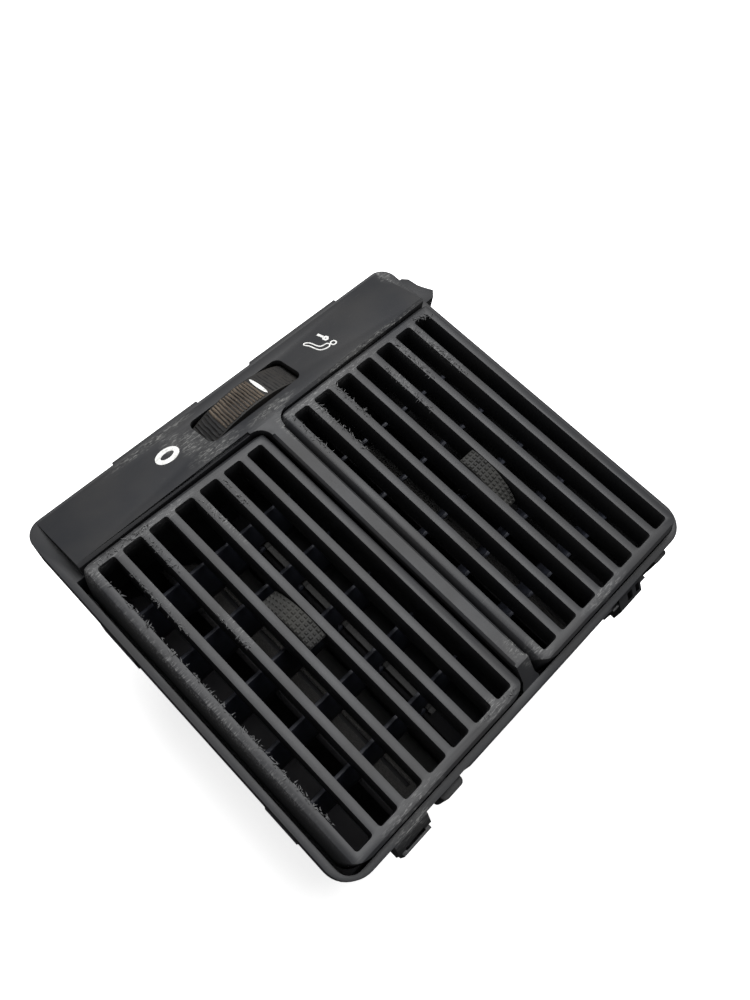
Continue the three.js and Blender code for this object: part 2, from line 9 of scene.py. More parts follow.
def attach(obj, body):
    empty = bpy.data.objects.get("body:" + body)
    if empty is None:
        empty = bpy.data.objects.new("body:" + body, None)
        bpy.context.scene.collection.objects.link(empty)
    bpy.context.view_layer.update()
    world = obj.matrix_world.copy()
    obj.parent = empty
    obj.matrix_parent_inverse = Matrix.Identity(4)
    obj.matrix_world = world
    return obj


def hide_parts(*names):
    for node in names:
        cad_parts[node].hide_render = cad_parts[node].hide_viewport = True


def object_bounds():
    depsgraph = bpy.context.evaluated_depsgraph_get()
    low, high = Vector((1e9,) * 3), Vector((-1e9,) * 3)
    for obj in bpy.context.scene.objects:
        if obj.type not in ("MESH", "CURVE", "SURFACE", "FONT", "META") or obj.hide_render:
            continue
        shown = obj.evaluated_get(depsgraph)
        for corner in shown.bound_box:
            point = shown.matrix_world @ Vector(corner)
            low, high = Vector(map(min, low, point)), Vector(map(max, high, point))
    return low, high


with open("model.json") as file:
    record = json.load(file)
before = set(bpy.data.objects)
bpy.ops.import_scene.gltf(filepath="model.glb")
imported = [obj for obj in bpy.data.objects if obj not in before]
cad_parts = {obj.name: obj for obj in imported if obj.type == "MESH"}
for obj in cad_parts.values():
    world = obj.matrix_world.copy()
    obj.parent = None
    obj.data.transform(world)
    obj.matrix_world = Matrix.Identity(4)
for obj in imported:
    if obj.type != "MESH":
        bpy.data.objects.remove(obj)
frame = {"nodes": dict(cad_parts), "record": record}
cad_bounds = [list(corner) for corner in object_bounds()]

# ------------------------------------------------------------------ bench
# The vent stands on its two duct collars on a plain pale bench, with painted shadow inside
# the duct mouths, under two soft lights in a pale room. The camera looks steeply down on the
# face from the left front corner and is rolled a little.

mm = 0.001
lowest = cad_bounds[0][2]

camera_data = bpy.data.cameras.new("camera")
camera_data.lens = 30.3
camera_data.sensor_width = 36
camera = bpy.data.objects.new("camera", camera_data)
camera_place = Vector((-88.4, -58.0, 320.7)) * mm
camera_aim = Vector((8.3, 5.5, 80.0)) * mm
camera_roll = math.radians(12.7)
# The two duct mouths on the bench: how far out, how far along, and half their sizes.
# The bench is painted black inside these two mouths, as shadow.
duct_out, duct_along = 39 * mm, -10.7 * mm
duct_half_width, duct_half_length = 20.5 * mm, 58 * mm
facing = (camera_aim - camera_place).to_track_quat("-Z", "Y")
camera.matrix_world = (
    Matrix.Translation(camera_place)
    @ (facing @ Quaternion((0, 0, 1), camera_roll)).to_matrix().to_4x4())
bpy.context.scene.collection.objects.link(camera)
bpy.context.scene.camera = camera


def bench_material():
    """Matt white paper that throws little light back, painted black as shadow in the two ducts."""
    material = bpy.data.materials.new("pale_bench")
    material.use_nodes = True
    tree = material.node_tree
    shader = tree.nodes["Principled BSDF"]
    shader.inputs["Roughness"].default_value = 1.0
    shader.inputs["Specular IOR Level"].default_value = 0.0
    seen = tree.nodes.new("ShaderNodeLightPath").outputs["Is Camera Ray"]
    where = tree.nodes.new("ShaderNodeSeparateXYZ")
    place = tree.nodes.new("ShaderNodeTexCoord").outputs["Object"]
    tree.links.new(place, where.inputs[0])

    def calc(operation, first, second):
        node = tree.nodes.new("ShaderNodeMath")
        node.operation = operation
        for socket, value in zip(node.inputs, (first, second)):
            if isinstance(value, float):
                socket.default_value = value
            else:
                tree.links.new(value, socket)
        return node.outputs[0]

    def beyond(value, middle, half):
        """1 where a distance from the middle is more than half."""
        away = calc("SUBTRACT", value, middle)
        return calc("GREATER_THAN", calc("MAXIMUM", away, calc("MULTIPLY", away, -1.0)), half)

    # The mask of the painted shadow: 0 inside the two duct mouths, 1 outside them.
    mirrored = calc("MAXIMUM", where.outputs["X"], calc("MULTIPLY", where.outputs["X"], -1.0))
    outside = calc(
        "MAXIMUM", beyond(mirrored, duct_out, duct_half_width),
        beyond(where.outputs["Y"], duct_along, duct_half_length))
    seen_outside_painted_shadow = calc("MULTIPLY", seen, outside)
    # The camera sees white, glowing paper outside the ducts and black painted shadow inside them;
    # other rays see the bench dark.
    tone = tree.nodes.new("ShaderNodeMix")
    tone.data_type = "RGBA"
    tone.inputs["A"].default_value = (0.06, 0.06, 0.06, 1)
    tone.inputs["B"].default_value = (0.95, 0.95, 0.95, 1)
    shader.inputs["Emission Color"].default_value = (1, 1, 1, 1)
    glow = calc("MULTIPLY", seen_outside_painted_shadow, 0.78)
    for pair in ((seen_outside_painted_shadow, tone.inputs["Factor"]),
                 (tone.outputs["Result"], shader.inputs["Base Color"]),
                 (glow, shader.inputs["Emission Strength"])):
        tree.links.new(*pair)
    return material


def bench():
    mesh = bpy.data.meshes.new("bench")
    reach = 4.0
    z = lowest - 0.2 * mm
    mesh.from_pydata(
        [(-reach, -reach, z), (reach, -reach, z), (reach, reach, z), (-reach, reach, z)],
        [], [(0, 1, 2, 3)])
    mesh.materials.append(bench_material())
    plane = bpy.data.objects.new("bench", mesh)
    bpy.context.scene.collection.objects.link(plane)


def soft_light(name, place, size, watts):
    data = bpy.data.lights.new(name, "AREA")
    data.shape = "SQUARE"
    data.size = size
    data.energy = watts
    light = bpy.data.objects.new(name, data)
    light.location = place
    light.rotation_mode = "QUATERNION"
    light.rotation_quaternion = (Vector((0, 0, 0.05)) - Vector(place)).to_track_quat("-Z", "Y")
    bpy.context.scene.collection.objects.link(light)


bench()
soft_light("window", (0.50, 0.55, 1.15), 0.8, 10)
soft_light("overhead", (0.28, 0.10, 1.45), 0.7, 17)

world = bpy.data.worlds.new("pale_room")
world.use_nodes = True
world.node_tree.nodes["Background"].inputs["Color"].default_value = (1, 1, 1, 1)
seen = world.node_tree.nodes.new("ShaderNodeLightPath")
strength = world.node_tree.nodes.new("ShaderNodeMapRange")
strength.inputs["To Min"].default_value = 0.12
strength.inputs["To Max"].default_value = 1.0
world.node_tree.links.new(seen.outputs["Is Camera Ray"], strength.inputs["Value"])
world.node_tree.links.new(
    strength.outputs["Result"], world.node_tree.nodes["Background"].inputs["Strength"])
bpy.context.scene.world = world
bpy.context.scene.view_settings.view_transform = "Standard"

# ------------------------------------------------------------------ rear housing
# A black moulded box behind the bezel: plenum, divider, thumbwheel bay and two duct
# collars joined by a bridge. It is plain injection-moulded plastic with a fine grain, and
# its edges carry the small radius that the mould leaves.


def moulded(node, radius, segments=2):
    """A copy of a CAD node with rounded edges; its attribute "edge" is 1 along their crowns."""
    mesh = frame["nodes"][node].data.copy()
    mesh.materials.clear()
    shape = bmesh.new()
    shape.from_mesh(mesh)
    bmesh.ops.remove_doubles(shape, verts=shape.verts, dist=0.002 * mm)
    bmesh.ops.dissolve_limit(
        shape, angle_limit=math.radians(0.6), verts=shape.verts, edges=shape.edges)
    sharp = [
        edge for edge in shape.edges
        if edge.is_manifold and edge.calc_face_angle() > math.radians(32)]
    rounded = bmesh.ops.bevel(
        shape, geom=sharp, offset=radius, offset_type="OFFSET", segments=segments,
        profile=0.5, clamp_overlap=True, affect="EDGES")
    crown = shape.verts.layers.float.new("edge")
    bands = set(rounded["faces"])
    for vert in rounded["verts"]:
        if vert.is_valid and all(face in bands for face in vert.link_faces):
            vert[crown] = 1.0
    bmesh.ops.triangulate(shape, faces=[f for f in shape.faces if len(f.verts) > 4])
    for face in shape.faces:
        face.smooth = True
    shape.to_mesh(mesh)
    shape.free()
    mesh.set_sharp_from_angle(angle=math.radians(50))
    piece = bpy.data.objects.new(node + "_moulding", mesh)
    bpy.context.scene.collection.objects.link(piece)
    return piece


def fit(piece, body, material, slot, *nodes):
    """Gives a piece its finish and body, and lets it stand for its CAD nodes."""
    if not piece.data.materials:
        piece.data.materials.append(material)
    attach(piece, body)
    if nodes:
        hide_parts(*nodes)


def new_group(name, inputs, outputs):
    """An empty shader group with typed, named sockets."""
    tree = bpy.data.node_groups.new(name, "ShaderNodeTree")
    for socket, kind, value in inputs:
        made = tree.interface.new_socket(socket, in_out="INPUT", socket_type=kind)
        if value is not None:
            made.default_value = value
    for socket, kind in outputs:
        tree.interface.new_socket(socket, in_out="OUTPUT", socket_type=kind)
    return tree, tree.nodes.new("NodeGroupInput"), tree.nodes.new("NodeGroupOutput")


def wire(tree, *pairs):
    for source, target in pairs:
        tree.links.new(source, target)


def noise(tree, vector, scale, detail=3, roughness=0.55):
    node = tree.nodes.new("ShaderNodeTexNoise")
    node.inputs["Scale"].default_value = scale
    node.inputs["Detail"].default_value = detail
    node.inputs["Roughness"].default_value = roughness
    tree.links.new(vector, node.inputs["Vector"])
    return node.outputs["Fac"]


def math_node(tree, operation, first, second):
    node = tree.nodes.new("ShaderNodeMath")
    node.operation = operation
    for socket, value in zip(node.inputs, (first, second)):
        if isinstance(value, (int, float)):
            socket.default_value = value
        else:
            tree.links.new(value, socket)
    return node.outputs[0]


def ramp(tree, value, low_value, high_value):
    """0 below low_value, 1 above high_value."""
    node = tree.nodes.new("ShaderNodeMapRange")
    node.inputs["From Min"].default_value = low_value
    node.inputs["From Max"].default_value = high_value
    tree.links.new(value, node.inputs["Value"])
    return node.outputs["Result"]


def mix_colour(tree, factor, first, second):
    node = tree.nodes.new("ShaderNodeMix")
    node.data_type = "RGBA"
    wire(tree, (factor, node.inputs["Factor"]), (first, node.inputs["A"]),
         (second, node.inputs["B"]))
    return node.outputs["Result"]


def worn_plastic_group():
    """Grain, scratches, rubbed edges and dust of a used plastic moulding."""
    tree, given, result = new_group(
        "worn_plastic",
        [("Base", "NodeSocketColor", (0.05, 0.05, 0.05, 1)),
         ("Rubbed", "NodeSocketColor", (0.2, 0.2, 0.2, 1)),
         ("Dust Colour", "NodeSocketColor", (0.2, 0.18, 0.15, 1)),
         ("Edge", "NodeSocketFloat", 0.0),
         ("Scuffs", "NodeSocketFloat", 0.0),
         ("Edge Wear", "NodeSocketFloat", 0.4),
         ("Dust", "NodeSocketFloat", 0.2),
         ("Gloss", "NodeSocketFloat", 0.5)],
        [("Color", "NodeSocketColor"), ("Roughness", "NodeSocketFloat"),
         ("Height", "NodeSocketFloat")])
    place = tree.nodes.new("ShaderNodeTexCoord").outputs["Object"]
    sparkle = noise(tree, place, 2600, 2)
    cloud = noise(tree, place, 55, 5)
    patchy = noise(tree, place, 420, 4, 0.7)

    def drawn_out(turn, stretch, scale, low_value, high_value):
        drawn = tree.nodes.new("ShaderNodeMapping")
        drawn.inputs["Rotation"].default_value = (0.3, 0.2, turn)
        drawn.inputs["Scale"].default_value = (1.0, stretch, stretch / 2)
        tree.links.new(place, drawn.inputs["Vector"])
        return ramp(
            tree, noise(tree, drawn.outputs["Vector"], scale, 4, 0.6), low_value, high_value)

    scratch = drawn_out(0.6, 14.0, 130, 0.69, 0.73)
    strokes = math_node(
        tree, "MAXIMUM", drawn_out(0.9, 5.0, 420, 0.54, 0.62),
        drawn_out(-0.5, 6.0, 380, 0.57, 0.65))

    rubbed = math_node(tree, "MULTIPLY", ramp(tree, patchy, 0.42, 0.62), given.outputs["Edge"])
    rubbed = math_node(tree, "MULTIPLY", rubbed, given.outputs["Edge Wear"])
    flecks = math_node(tree, "MULTIPLY", strokes, given.outputs["Scuffs"])
    dulled = math_node(tree, "MULTIPLY", ramp(tree, patchy, 0.35, 0.75), given.outputs["Scuffs"])
    flecks = math_node(tree, "MAXIMUM", flecks, math_node(tree, "MULTIPLY", dulled, 0.32))
    rubbed = math_node(tree, "MAXIMUM", rubbed, flecks)
    rubbed = math_node(tree, "MAXIMUM", rubbed, math_node(tree, "MULTIPLY", scratch, 0.16))

    dusty = math_node(tree, "MULTIPLY", ramp(tree, cloud, 0.35, 0.75), given.outputs["Dust"])
    speck = ramp(tree, noise(tree, place, 1300, 1), 0.71, 0.76)
    speck = math_node(tree, "MULTIPLY", speck, given.outputs["Dust"])
    dusty = math_node(tree, "MAXIMUM", dusty, speck)

    colour = mix_colour(tree, dusty, given.outputs["Base"], given.outputs["Dust Colour"])
    colour = mix_colour(tree, rubbed, colour, given.outputs["Rubbed"])
    rough = math_node(tree, "ADD", given.outputs["Gloss"], math_node(tree, "MULTIPLY", cloud, 0.14))
    rough = math_node(tree, "ADD", rough, math_node(tree, "MULTIPLY", dusty, 0.25))
    height = math_node(tree, "ADD", sparkle, math_node(tree, "MULTIPLY", flecks, 1.6))
    height = math_node(tree, "SUBTRACT", height, math_node(tree, "MULTIPLY", scratch, 0.5))
    wire(tree, (colour, result.inputs["Color"]), (rough, result.inputs["Roughness"]),
         (height, result.inputs["Height"]))
    return tree


def scuffed_place_group():
    """A mask that is 1 at Centre and fades out over Reach."""
    tree, given, result = new_group(
        "scuffed_place",
        [("Centre", "NodeSocketVector", (0, 0, 0)), ("Reach", "NodeSocketVector", (1, 1, 1))],
        [("Mask", "NodeSocketFloat")])
    place = tree.nodes.new("ShaderNodeTexCoord").outputs["Object"]
    offset = tree.nodes.new("ShaderNodeVectorMath")
    offset.operation = "SUBTRACT"
    scaled = tree.nodes.new("ShaderNodeVectorMath")
    scaled.operation = "DIVIDE"
    length = tree.nodes.new("ShaderNodeVectorMath")
    length.operation = "LENGTH"
    fade = tree.nodes.new("ShaderNodeMapRange")
    fade.inputs["From Min"].default_value = 1.0
    fade.inputs["From Max"].default_value = 0.35
    wire(tree, (place, offset.inputs[0]), (given.outputs["Centre"], offset.inputs[1]),
         (offset.outputs[0], scaled.inputs[0]), (given.outputs["Reach"], scaled.inputs[1]),
         (scaled.outputs[0], length.inputs[0]), (length.outputs["Value"], fade.inputs["Value"]),
         (fade.outputs["Result"], result.inputs["Mask"]))
    return tree


worn_plastic = worn_plastic_group()
scuffed_place = scuffed_place_group()


def plastic(name, base, rubbed, gloss, edge_wear, dust, dust_colour=(0.07, 0.064, 0.055),
            scuffs=(), grain=0.03, shine=0.28):
    """A moulded plastic; scuffs lists (centre, reach) in millimetres."""
    material = bpy.data.materials.new(name)
    material.use_nodes = True
    tree = material.node_tree
    shader = tree.nodes["Principled BSDF"]
    shader.inputs["Specular IOR Level"].default_value = shine
    worn = tree.nodes.new("ShaderNodeGroup")
    worn.node_tree = worn_plastic
    worn.inputs["Base"].default_value = (*base, 1)
    worn.inputs["Rubbed"].default_value = (*rubbed, 1)
    worn.inputs["Dust Colour"].default_value = (*dust_colour, 1)
    worn.inputs["Edge Wear"].default_value = edge_wear
    worn.inputs["Dust"].default_value = dust
    worn.inputs["Gloss"].default_value = gloss
    edge = tree.nodes.new("ShaderNodeAttribute")
    edge.attribute_name = "edge"
    tree.links.new(edge.outputs["Fac"], worn.inputs["Edge"])
    mask = None
    for centre, reach in scuffs:
        patch = tree.nodes.new("ShaderNodeGroup")
        patch.node_tree = scuffed_place
        patch.inputs["Centre"].default_value = Vector(centre) * mm
        patch.inputs["Reach"].default_value = Vector(reach) * mm
        found = patch.outputs["Mask"]
        mask = found if mask is None else math_node(tree, "MAXIMUM", mask, found)
    if mask is not None:
        tree.links.new(mask, worn.inputs["Scuffs"])
    bump = tree.nodes.new("ShaderNodeBump")
    bump.inputs["Strength"].default_value = 0.5
    bump.inputs["Distance"].default_value = grain * mm
    wire(tree, (worn.outputs["Height"], bump.inputs["Height"]),
         (worn.outputs["Color"], shader.inputs["Base Color"]),
         (worn.outputs["Roughness"], shader.inputs["Roughness"]),
         (bump.outputs["Normal"], shader.inputs["Normal"]))
    return material


housing_plastic = plastic(
    "housing_black", (0.015, 0.015, 0.017), (0.07, 0.07, 0.07), 0.42, 0.35, 0.25,
    dust_colour=(0.035, 0.033, 0.030), shine=0.3)
fit(moulded("rear_housing", 0.25 * mm), "vent_body", housing_plastic, "housing_plastic",
    "rear_housing")

# ------------------------------------------------------------------ duct gaskets
# Each collar wears a band of soft open-cell foam that seals it to the dashboard duct. The
# band is die-cut, glued on and a little crowned, with pores all over.


def foam_material(name, base):
    material = bpy.data.materials.new(name)
    material.use_nodes = True
    tree = material.node_tree
    shader = tree.nodes["Principled BSDF"]
    place = tree.nodes.new("ShaderNodeTexCoord").outputs["Object"]
    pores = tree.nodes.new("ShaderNodeTexVoronoi")
    pores.inputs["Scale"].default_value = 1500
    tree.links.new(place, pores.inputs["Vector"])
    shade = tree.nodes.new("ShaderNodeValToRGB")
    shade.color_ramp.elements[0].color = (*[c * 0.4 for c in base], 1)
    shade.color_ramp.elements[1].color = (*[c * 2.2 for c in base], 1)
    bump = tree.nodes.new("ShaderNodeBump")
    bump.inputs["Strength"].default_value = 0.9
    bump.inputs["Distance"].default_value = 0.12 * mm
    wire(tree, (pores.outputs["Distance"], shade.inputs["Fac"]),
         (shade.outputs["Color"], shader.inputs["Base Color"]),
         (pores.outputs["Distance"], bump.inputs["Height"]),
         (bump.outputs["Normal"], shader.inputs["Normal"]))
    shader.inputs["Roughness"].default_value = 0.95
    return material


def foam_band(node, voxel):
    """A copy of a foam solid with its corners relaxed, as cut foam has."""
    mesh = frame["nodes"][node].data.copy()
    mesh.materials.clear()
    shape = bmesh.new()
    shape.from_mesh(mesh)
    bmesh.ops.remove_doubles(shape, verts=shape.verts, dist=0.002 * mm)
    shape.to_mesh(mesh)
    shape.free()
    band = bpy.data.objects.new(node + "_foam", mesh)
    bpy.context.scene.collection.objects.link(band)
    remesh = band.modifiers.new("cells", "REMESH")
    remesh.mode = "VOXEL"
    remesh.voxel_size = voxel
    relax = band.modifiers.new("relax", "SMOOTH")
    relax.factor = 0.6
    relax.iterations = 6
    evaluated = band.evaluated_get(bpy.context.evaluated_depsgraph_get())
    final = bpy.data.meshes.new_from_object(evaluated)
    band.modifiers.clear()
    band.data = final
    for face in final.polygons:
        face.use_smooth = True
    return band


foam = foam_material("sealing_foam", (0.022, 0.021, 0.02))
for side in ("left", "right"):
    gasket = foam_band(side + "_duct_gasket", 0.6 * mm)
    fit(gasket, "vent_body", foam, "foam", side + "_duct_gasket")

# ------------------------------------------------------------------ shut-off flaps
# In each collar a flat black flap turns on a moulded shaft. A thin foam pad on its face
# seals it when shut, and a pale lever outside the housing turns it.

flap_plastic = plastic(
    "flap_black", (0.009, 0.009, 0.010), (0.05, 0.05, 0.05), 0.45, 0.3, 0.25,
    dust_colour=(0.03, 0.028, 0.025), shine=0.2)
link_plastic = plastic(
    "uncoloured_plastic", (0.50, 0.47, 0.40), (0.62, 0.60, 0.54), 0.38, 0.3, 0.18,
    dust_colour=(0.25, 0.22, 0.18))
for side in ("left", "right"):
    body = side + "_flap"
    flap = moulded(side + "_shutoff_flap", 0.25 * mm)
    fit(flap, body, flap_plastic, "vane_plastic", side + "_shutoff_flap")
    seal = moulded(side + "_flap_seal", 0.35 * mm, 3)
    fit(seal, body, foam, "foam", side + "_flap_seal")
    lever = moulded(side + "_flap_lever", 0.2 * mm)
    fit(lever, body, link_plastic, "link_plastic", side + "_flap_lever")

# ------------------------------------------------------------------ shut-off link
# A T-shaped bar of the same pale slippery plastic joins the thumbwheel's crank to both
# flap levers, so the two flaps turn together.

fit(moulded("shutoff_link", 0.2 * mm), "shutoff_link", link_plastic, "link_plastic",
    "shutoff_link")

# ------------------------------------------------------------------ thumbwheel axle
# A turned steel pin with a shallow head, pressed in from the back of the bay.


def turned_steel():
    material = bpy.data.materials.new("turned_steel")
    material.use_nodes = True
    tree = material.node_tree
    shader = tree.nodes["Principled BSDF"]
    shader.inputs["Metallic"].default_value = 1.0
    place = tree.nodes.new("ShaderNodeTexCoord").outputs["Object"]
    stretched = tree.nodes.new("ShaderNodeMapping")
    stretched.inputs["Scale"].default_value = (1, 30, 1)
    tree.links.new(place, stretched.inputs["Vector"])
    rings = noise(tree, stretched.outputs["Vector"], 260, 3)
    tone = tree.nodes.new("ShaderNodeValToRGB")
    tone.color_ramp.elements[0].color = (0.32, 0.32, 0.34, 1)
    tone.color_ramp.elements[1].color = (0.62, 0.62, 0.64, 1)
    wire(tree, (rings, tone.inputs["Fac"]), (tone.outputs["Color"], shader.inputs["Base Color"]),
         (ramp(tree, rings, -0.8, 1.9), shader.inputs["Roughness"]))
    return material


fit(moulded("thumbwheel_axle", 0.15 * mm), "vent_body", turned_steel(), "axle_steel",
    "thumbwheel_axle")

# ------------------------------------------------------------------ thumbwheel
# The wheel stands a little out of the band. Its slightly conical rim has uneven ribs on one
# side of the white mark, with brown dust packed between, and faint worn ones on the other.

joints = {joint["name"]: joint for joint in frame["record"]["behaviour"]["joints"]}


def rest_angle(joint):
    """How far a joint stands from the middle of its travel at rest, in radians."""
    lowest, highest = joints[joint]["range_deg"]
    return math.radians(-(lowest + highest) / 2)


def ribs_tree(name):
    """Rows of small uneven bars round an axis along Y, set by named sizes."""
    tree = bpy.data.node_groups.new(name, "GeometryNodeTree")
    sizes = (
        ("Count", "NodeSocketInt"), ("Start", "NodeSocketFloat"), ("Step", "NodeSocketFloat"),
        ("Radius", "NodeSocketFloat"), ("Lean", "NodeSocketFloat"), ("Length", "NodeSocketFloat"),
        ("Thickness", "NodeSocketFloat"), ("Middle", "NodeSocketFloat"),
        ("Wobble", "NodeSocketFloat"), ("Material", "NodeSocketMaterial"))
    for socket, kind in sizes:
        tree.interface.new_socket(socket, in_out="INPUT", socket_type=kind)
    tree.interface.new_socket("Geometry", in_out="OUTPUT", socket_type="NodeSocketGeometry")
    given = tree.nodes.new("NodeGroupInput")
    result = tree.nodes.new("NodeGroupOutput")

    def node(kind, **settings):
        made = tree.nodes.new(kind)
        for key, value in settings.items():
            setattr(made, key, value)
        return made

    index = node("GeometryNodeInputIndex")
    turn = node("ShaderNodeMath", operation="MULTIPLY_ADD")
    sine = node("ShaderNodeMath", operation="SINE")
    cosine = node("ShaderNodeMath", operation="COSINE")
    across = node("ShaderNodeMath", operation="MULTIPLY")
    upward = node("ShaderNodeMath", operation="MULTIPLY")
    spot = node("ShaderNodeCombineXYZ")
    angles = node("ShaderNodeCombineXYZ")
    points = node("GeometryNodePoints")
    bar = node("GeometryNodeMeshCylinder")
    bar.inputs["Vertices"].default_value = 7
    bar.inputs["Side Segments"].default_value = 7
    lying = node("GeometryNodeTransform")
    lying.inputs["Rotation"].default_value = (math.pi / 2, 0, 0)
    leaning = node("GeometryNodeTransform")
    lean = node("ShaderNodeCombineXYZ")
    put = node("GeometryNodeInstanceOnPoints")
    real = node("GeometryNodeRealizeInstances")
    lumps = node("ShaderNodeTexNoise")
    lumps.inputs["Scale"].default_value = 420
    centred = node("ShaderNodeVectorMath", operation="SUBTRACT")
    centred.inputs[1].default_value = (0.5, 0.5, 0.5)
    amount = node("ShaderNodeVectorMath", operation="SCALE")
    uneven = node("GeometryNodeSetPosition")
    finish = node("GeometryNodeSetMaterial")
    wire(tree,
         (lumps.outputs["Color"], centred.inputs[0]), (centred.outputs[0], amount.inputs[0]),
         (given.outputs["Wobble"], amount.inputs["Scale"]),
         (real.outputs[0], uneven.inputs["Geometry"]), (amount.outputs[0], uneven.inputs["Offset"]),
         (index.outputs[0], turn.inputs[0]), (given.outputs["Step"], turn.inputs[1]),
         (given.outputs["Start"], turn.inputs[2]),
         (turn.outputs[0], sine.inputs[0]), (turn.outputs[0], cosine.inputs[0]),
         (sine.outputs[0], across.inputs[0]), (given.outputs["Radius"], across.inputs[1]),
         (cosine.outputs[0], upward.inputs[0]), (given.outputs["Radius"], upward.inputs[1]),
         (across.outputs[0], spot.inputs["X"]), (given.outputs["Middle"], spot.inputs["Y"]),
         (upward.outputs[0], spot.inputs["Z"]), (turn.outputs[0], angles.inputs["Y"]),
         (given.outputs["Count"], points.inputs["Count"]),
         (spot.outputs[0], points.inputs["Position"]),
         (given.outputs["Thickness"], bar.inputs["Radius"]),
         (given.outputs["Length"], bar.inputs["Depth"]),
         (bar.outputs["Mesh"], lying.inputs["Geometry"]),
         (given.outputs["Lean"], lean.inputs["X"]), (lean.outputs[0], leaning.inputs["Rotation"]),
         (lying.outputs[0], leaning.inputs["Geometry"]),
         (points.outputs[0], put.inputs["Points"]), (leaning.outputs[0], put.inputs["Instance"]),
         (angles.outputs[0], put.inputs["Rotation"]), (put.outputs[0], real.inputs["Geometry"]),
         (uneven.outputs[0], finish.inputs["Geometry"]),
         (given.outputs["Material"], finish.inputs["Material"]),
         (finish.outputs[0], result.inputs["Geometry"]))
    return tree


def grown(name, tree, sizes, place):
    """Evaluates a Geometry Nodes tree into a plain mesh and puts it in its place."""
    mesh = bpy.data.meshes.new(name)
    piece = bpy.data.objects.new(name, mesh)
    bpy.context.scene.collection.objects.link(piece)
    modifier = piece.modifiers.new("grow", "NODES")
    modifier.node_group = tree
    for item in tree.interface.items_tree:
        if item.in_out == "INPUT" and item.name in sizes:
            modifier[item.identifier] = sizes[item.name]
    evaluated = piece.evaluated_get(bpy.context.evaluated_depsgraph_get())
    final = bpy.data.meshes.new_from_object(evaluated)
    piece.modifiers.clear()
    piece.data = final
    final.transform(place)
    return piece


wheel_axis = Vector(joints["thumbwheel_turn"]["pos_m"])
rim_start, rim_end = 53.2 * mm, 63.8 * mm
rim_radius, rim_radius_end = 34.0 * mm, 31.5 * mm
rim_lean = math.atan2(rim_radius - rim_radius_end, rim_end - rim_start)
rim_middle = (rim_start + rim_end) / 2
rim_mean = (rim_radius + rim_radius_end) / 2
wheel_place = (
    Matrix.Translation((wheel_axis.x, 0, wheel_axis.z))
    @ Matrix.Rotation(rest_angle("thumbwheel_turn"), 4, "Y"))

wheel_plastic = plastic(
    "wheel_charcoal", (0.018, 0.018, 0.018), (0.09, 0.08, 0.07), 0.55, 0.3, 0.35,
    dust_colour=(0.06, 0.05, 0.04))
brown_rib_plastic = plastic(
    "wheel_ribs_dusty", (0.062, 0.050, 0.040), (0.24, 0.20, 0.16), 0.7, 0.3, 1.0,
    dust_colour=(0.21, 0.168, 0.125), grain=0.08)
dark_rib_plastic = plastic(
    "wheel_ribs_dark", (0.017, 0.017, 0.018), (0.07, 0.068, 0.065), 0.6, 0.3, 0.4,
    dust_colour=(0.034, 0.031, 0.028))
fit(moulded("shutoff_thumbwheel", 0.25 * mm), "thumbwheel", wheel_plastic, "wheel_plastic",
    "shutoff_thumbwheel")

ribs = ribs_tree("rim_ribs")
for name, material, count, start, step, thickness, proud in (
        ("wheel_worn_ribs", dark_rib_plastic, 12, -59.0, 2.4, 0.44 * mm, -0.14 * mm),
        ("wheel_brown_ribs", brown_rib_plastic, 14, -30.2, 2.1, 0.46 * mm, -0.06 * mm),
        ("wheel_fine_ribs", dark_rib_plastic, 21, 4.0, 2.6, 0.36 * mm, -0.22 * mm)):
    row = grown(name, ribs, {
        "Count": count, "Start": math.radians(start), "Step": math.radians(step),
        "Radius": rim_mean + proud, "Lean": -rim_lean, "Length": rim_end - rim_start - 1.0 * mm,
        "Thickness": thickness, "Middle": rim_middle, "Wobble": 1.1 * mm,
        "Material": material}, wheel_place)
    fit(row, "thumbwheel", material, "wheel_plastic")


def print_material():
    material = bpy.data.materials.new("white_print")
    material.use_nodes = True
    tree = material.node_tree
    shader = tree.nodes["Principled BSDF"]
    place = tree.nodes.new("ShaderNodeTexCoord").outputs["Object"]
    tone = tree.nodes.new("ShaderNodeValToRGB")
    tone.color_ramp.elements[0].position = 0.3
    tone.color_ramp.elements[0].color = (0.52, 0.52, 0.50, 1)
    tone.color_ramp.elements[1].position = 0.5
    tone.color_ramp.elements[1].color = (0.80, 0.80, 0.78, 1)
    wire(tree, (noise(tree, place, 900, 3), tone.inputs["Fac"]),
         (tone.outputs["Color"], shader.inputs["Base Color"]))
    shader.inputs["Roughness"].default_value = 0.6
    return material


white_print = print_material()


def ribbon(name, strokes, to_world, lift):
    """Thin raised strokes; each is (points, half width or widths, closed) on a flat plan."""
    shape = bmesh.new()
    for points, half, closed in strokes:
        rails = []
        count = len(points)
        for i, (x, y) in enumerate(points):
            before = Vector(points[i - 1]) if i or closed else Vector(points[0])
            after = Vector(points[(i + 1) % count if i < count - 1 or closed else -1])
            along = (after - before).normalized()
            side = Vector((-along.y, along.x)) * (half[i] if isinstance(half, list) else half)
            rails.append([
                shape.verts.new(to_world(x + sign * side.x, y + sign * side.y, height))
                for sign, height in ((1, 0), (1, lift), (-1, lift), (-1, 0))])
        spans = range(count) if closed else range(count - 1)
        for i in spans:
            a, b = rails[i], rails[(i + 1) % count]
            for k in range(4):
                shape.faces.new((a[k], a[(k + 1) % 4], b[(k + 1) % 4], b[k]))
        if not closed:
            shape.faces.new(rails[0])
            shape.faces.new(list(reversed(rails[-1])))
    bmesh.ops.recalc_face_normals(shape, faces=shape.faces)
    mesh = bpy.data.meshes.new(name)
    shape.to_mesh(mesh)
    shape.free()
    piece = bpy.data.objects.new(name, mesh)
    bpy.context.scene.collection.objects.link(piece)
    return piece


